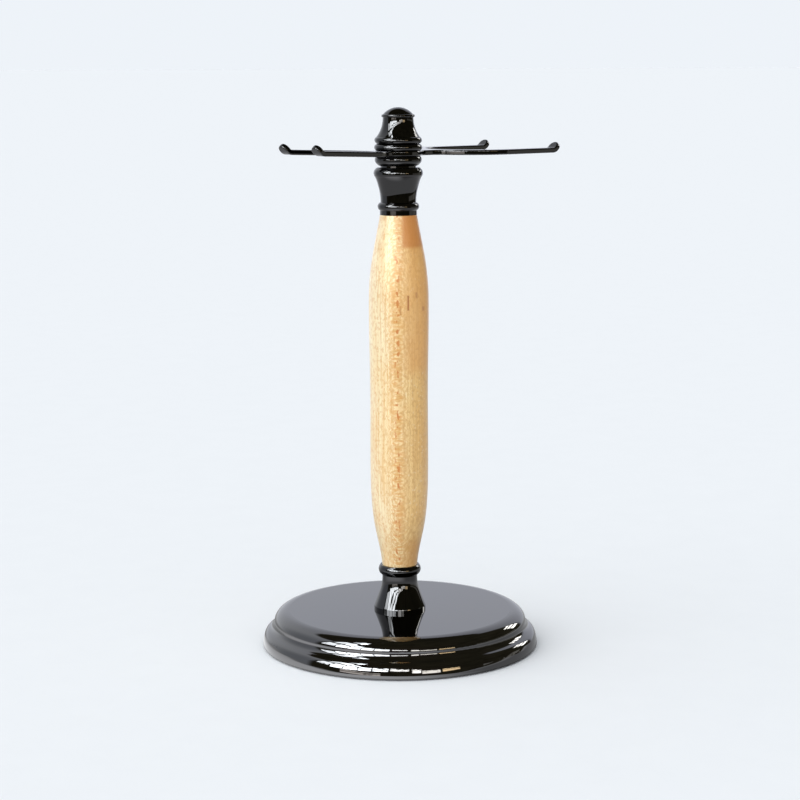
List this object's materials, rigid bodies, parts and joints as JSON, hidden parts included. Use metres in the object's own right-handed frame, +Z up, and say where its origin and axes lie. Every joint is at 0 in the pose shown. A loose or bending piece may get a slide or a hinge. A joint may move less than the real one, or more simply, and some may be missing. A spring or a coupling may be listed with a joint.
{
  "type": "razor stand",
  "caption": "Counter-top stand with a stepped round base, a turned wooden post, a forked hook plate for a razor and a shaving brush, and a bell-shaped clamping finial.",
  "frame": {"origin": "centre of the foot pad's underside, where the post axis meets the surface it stands on", "axes": "+Z up along the post axis, +X towards the wide brush fork, -X towards the narrow razor fork"},
  "size_m": [0.1038, 0.0944, 0.1835],
  "materials": {
    "gunmetal": "polished black-nickel plating",
    "gunmetal_sheet": "polished black-nickel plating on stamped sheet",
    "maple": "satin lacquer",
    "brass": "drawn",
    "steel": "zinc plated",
    "iron": "as cast",
    "pad_rubber": "matte"
  },
  "bodies": {
    "stand": {"base_cover": "gunmetal", "base_weight": "iron", "foot_pad": "pad_rubber", "base_screw": "steel", "base_lock_washer": "steel", "lower_ferrule": "gunmetal", "handle": "maple", "handle_tube": "brass", "lower_insert": "brass", "upper_insert": "brass", "upper_ferrule": "gunmetal", "lower_collar": "gunmetal", "finial_stud": "steel"},
    "hooks": {"hook_plate": "gunmetal_sheet"},
    "clamp_collar": {"upper_collar": "gunmetal"},
    "finial": {"finial_body": "gunmetal", "finial_cap": "gunmetal"}
  },
  "joints": [
    {"name": "hook_swivel", "type": "hinge", "parent": "stand", "child": "hooks", "pos_m": [0, 0, 0.1683], "axis": [0, 0, 1], "continuous": true},
    {"name": "collar_rise", "type": "slide", "parent": "stand", "child": "clamp_collar", "axis": [0, 0, 1], "range_m": [0, 0.0016]},
    {"name": "finial_turn", "type": "hinge", "parent": "clamp_collar", "child": "finial", "pos_m": [0, 0, 0.172], "axis": [0, 0, 1], "range_deg": [0, 720]}
  ],
  "couplings": [
    {"joint": "collar_rise", "follows": "finial_turn", "m_per_rad": 0.00012732}
  ]
}
